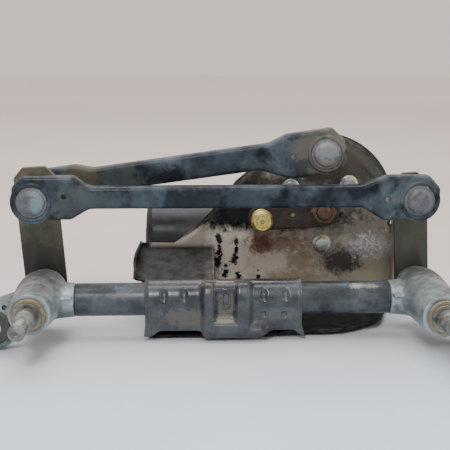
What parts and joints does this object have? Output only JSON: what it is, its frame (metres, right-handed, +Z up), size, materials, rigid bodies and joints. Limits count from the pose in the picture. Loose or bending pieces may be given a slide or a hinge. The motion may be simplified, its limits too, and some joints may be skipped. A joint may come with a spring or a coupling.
{
  "type": "windshield wiper assembly",
  "caption": "Twin-spindle windshield wiper linkage with its worm-gear motor: a tube frame with cast pivot housings, crank plates, two channel links with ball sockets and a motor crank.",
  "frame": {"origin": "the point of the bracket's flat underside that lies below the tube's axis, midway between the two wiper spindles", "axes": "+X along the tube, from the left spindle to the right one as seen from the threaded tips; +Y from the tips towards the motor, along the spindles; +Z up, square to the bracket base"},
  "size_m": [0.3358, 0.2124, 0.1362],
  "materials": {
    "tube_paint": "worn satin black-blue paint",
    "link_paint": "dusty satin blue-black paint",
    "bracket_paint": "black paint under brown dust",
    "can_paint": "satin black paint",
    "cast_aluminium": "grey cast, lightly corroded",
    "olive_zinc": "aged yellow-passivated steel",
    "yellow_zinc": "yellow-passivated steel",
    "bright_zinc": "bluish zinc",
    "dark_steel": "dark oiled steel",
    "rusty_steel": "surface rust",
    "grey_plastic": "dusty dark grey moulding",
    "black_plastic": "moulded black",
    "white_nylon": "natural nylon",
    "black_rubber": "matt",
    "bronze": "sintered bronze",
    "copper": "copper",
    "ferrite": "ground ferrite",
    "carbon": "graphite"
  },
  "bodies": {
    "frame": {"frame_tube": "tube_paint", "motor_bracket": "bracket_paint", "tube_clamp": "tube_paint", "motor_mount_bolt_1": "bright_zinc", "motor_mount_bolt_2": "bright_zinc", "motor_mount_bolt_3": "bright_zinc", "left_pivot_housing": "cast_aluminium", "right_pivot_housing": "cast_aluminium", "left_spindle_bush": "bronze", "right_spindle_bush": "bronze", "left_ear_grommet": "black_rubber", "right_ear_grommet": "black_rubber", "left_ear_sleeve": "bright_zinc", "right_ear_sleeve": "bright_zinc", "gear_housing": "cast_aluminium", "output_bush": "bronze", "gear_cover": "black_plastic", "gear_cover_screw_1": "bright_zinc", "gear_cover_screw_2": "bright_zinc", "gear_cover_screw_3": "bright_zinc", "connector_socket": "black_plastic", "connector_blade_1": "copper", "connector_blade_2": "copper", "park_contacts": "copper", "motor_can": "can_paint", "motor_screw_1": "bright_zinc", "motor_screw_2": "bright_zinc", "magnet_1": "ferrite", "magnet_2": "ferrite", "brush_holder": "black_plastic", "carbon_brush_1": "carbon", "carbon_brush_2": "carbon", "armature_bush": "bronze"},
    "left_rocker": {"left_spindle": "dark_steel", "left_thrust_washer": "yellow_zinc", "left_circlip": "dark_steel", "left_crank_arm": "olive_zinc", "left_double_ball_stud": "bright_zinc"},
    "right_rocker": {"right_spindle": "dark_steel", "right_thrust_washer": "yellow_zinc", "right_circlip": "dark_steel", "right_crank_arm": "olive_zinc", "right_ball_stud": "bright_zinc"},
    "front_link": {"front_link_rod": "link_paint", "front_link_left_socket": "grey_plastic", "front_link_right_socket": "grey_plastic"},
    "motor_link": {"motor_link_rod": "link_paint", "motor_link_left_socket": "grey_plastic", "motor_link_right_socket": "grey_plastic"},
    "motor_crank": {"motor_crank_arm": "dark_steel", "motor_crank_ball_stud": "yellow_zinc", "motor_crank_nut": "rusty_steel", "motor_crank_washer": "dark_steel", "output_shaft": "dark_steel", "worm_wheel": "white_nylon", "park_disc": "copper"},
    "armature": {"armature_shaft": "dark_steel", "armature_core": "dark_steel", "armature_windings": "copper", "commutator": "copper"}
  },
  "joints": [
    {"name": "left_spindle_hinge", "type": "hinge", "parent": "frame", "child": "left_rocker", "pos_m": [-0.1275, 0, 0.0274], "axis": [0, 1, 0], "range_deg": [-47.9, 44.7]},
    {"name": "right_spindle_hinge", "type": "hinge", "parent": "frame", "child": "right_rocker", "pos_m": [0.1275, 0, 0.0274], "axis": [0, 1, 0], "range_deg": [-47.9, 44.7]},
    {"name": "front_link_ball", "type": "hinge", "parent": "left_rocker", "child": "front_link", "pos_m": [-0.13144, 0.0115, 0.08998], "axis": [0, 1, 0], "range_deg": [-44.7, 47.9]},
    {"name": "motor_link_ball", "type": "hinge", "parent": "front_link", "child": "motor_link", "pos_m": [-0.13144, 0.033, 0.08998], "axis": [0, 1, 0], "range_deg": [-60, 6]},
    {"name": "motor_crank_spin", "type": "hinge", "parent": "frame", "child": "motor_crank", "pos_m": [0.0675, 0, 0.074], "axis": [0, 1, 0], "continuous": true},
    {"name": "armature_spin", "type": "hinge", "parent": "frame", "child": "armature", "pos_m": [0, 0.099, 0.045], "axis": [1, 0, 0], "continuous": true}
  ],
  "couplings": [
    {"joint": "right_spindle_hinge", "follows": "left_spindle_hinge", "ratio": 1},
    {"joint": "front_link_ball", "follows": "left_spindle_hinge", "ratio": -1},
    {"joint": "armature_spin", "follows": "motor_crank_spin", "ratio": 49}
  ]
}
